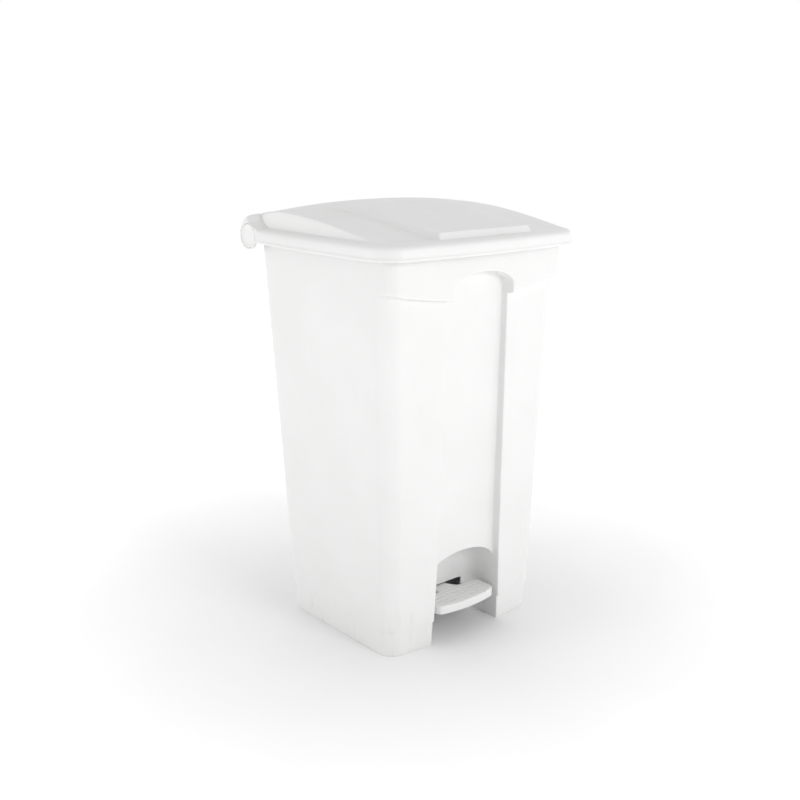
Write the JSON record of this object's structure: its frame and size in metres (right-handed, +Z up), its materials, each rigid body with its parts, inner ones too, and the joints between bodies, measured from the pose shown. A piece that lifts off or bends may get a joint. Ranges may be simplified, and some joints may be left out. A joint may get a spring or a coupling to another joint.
{
  "type": "pedal bin",
  "caption": "Foot-operated waste bin with a tapered white plastic body, a domed lid hinged along the back and a ribbed pedal in a niche at the front.",
  "frame": {"origin": "on the floor, under the middle of the bin's overall box", "axes": "+Z up, -Y towards the pedal side, +X to the right of someone who faces the pedal"},
  "size_m": [0.5048, 0.4486, 0.8192],
  "materials": {
    "white_plastic": "white moulded plastic with a fine satin grain",
    "grey_plastic": "grey moulded plastic",
    "zinc_steel": "zinc plated steel",
    "fastener_steel": "plated steel fasteners",
    "black_rubber": "black rubber"
  },
  "bodies": {
    "body": {"body_shell": "white_plastic", "rear_cover": "white_plastic", "rod_guide_lower": "grey_plastic", "rod_guide_upper": "grey_plastic", "axle_bracket_left": "grey_plastic", "axle_bracket_right": "grey_plastic", "axle_spacer_left": "grey_plastic", "axle_spacer_right": "grey_plastic", "hinge_rod": "zinc_steel", "pedal_axle": "zinc_steel", "axle_clip_left": "fastener_steel", "axle_clip_right": "fastener_steel", "cover_screw_1": "fastener_steel", "cover_screw_2": "fastener_steel", "cover_screw_3": "fastener_steel", "cover_screw_4": "fastener_steel", "bracket_screw_1": "fastener_steel", "bracket_screw_2": "fastener_steel", "bracket_screw_3": "fastener_steel", "bracket_screw_4": "fastener_steel"},
    "lid": {"lid_shell": "white_plastic", "hinge_cap_left": "white_plastic", "hinge_cap_right": "white_plastic", "hinge_bush_left": "grey_plastic", "hinge_bush_right": "grey_plastic", "lid_lever": "zinc_steel", "lid_lever_screw_left": "fastener_steel", "lid_lever_screw_right": "fastener_steel", "lid_buffer_left": "black_rubber", "lid_buffer_right": "black_rubber"},
    "pedal": {"pedal_lever": "zinc_steel", "pedal_treadle": "white_plastic", "treadle_screw_front": "fastener_steel", "treadle_screw_rear": "fastener_steel", "lever_pin": "zinc_steel", "lever_pin_clip": "fastener_steel"},
    "rod": {"push_rod": "zinc_steel", "rod_top_pin": "zinc_steel"}
  },
  "joints": [
    {"name": "lid_hinge", "type": "hinge", "parent": "body", "child": "lid", "pos_m": [0, 0.19225, 0.7562], "axis": [-1, 0, 0], "range_deg": [0, 80]},
    {"name": "pedal_hinge", "type": "hinge", "parent": "body", "child": "pedal", "pos_m": [0, -0.02325, 0.06], "axis": [1, 0, 0], "range_deg": [0, 10.95]},
    {"name": "rod_slide", "type": "slide", "parent": "body", "child": "rod", "axis": [0, 0.0518, 0.9987], "range_m": [0, 0.031]}
  ],
  "couplings": [
    {"joint": "pedal_hinge", "follows": "lid_hinge", "ratio": 0.1362},
    {"joint": "rod_slide", "follows": "lid_hinge", "m_per_rad": 0.02206}
  ]
}
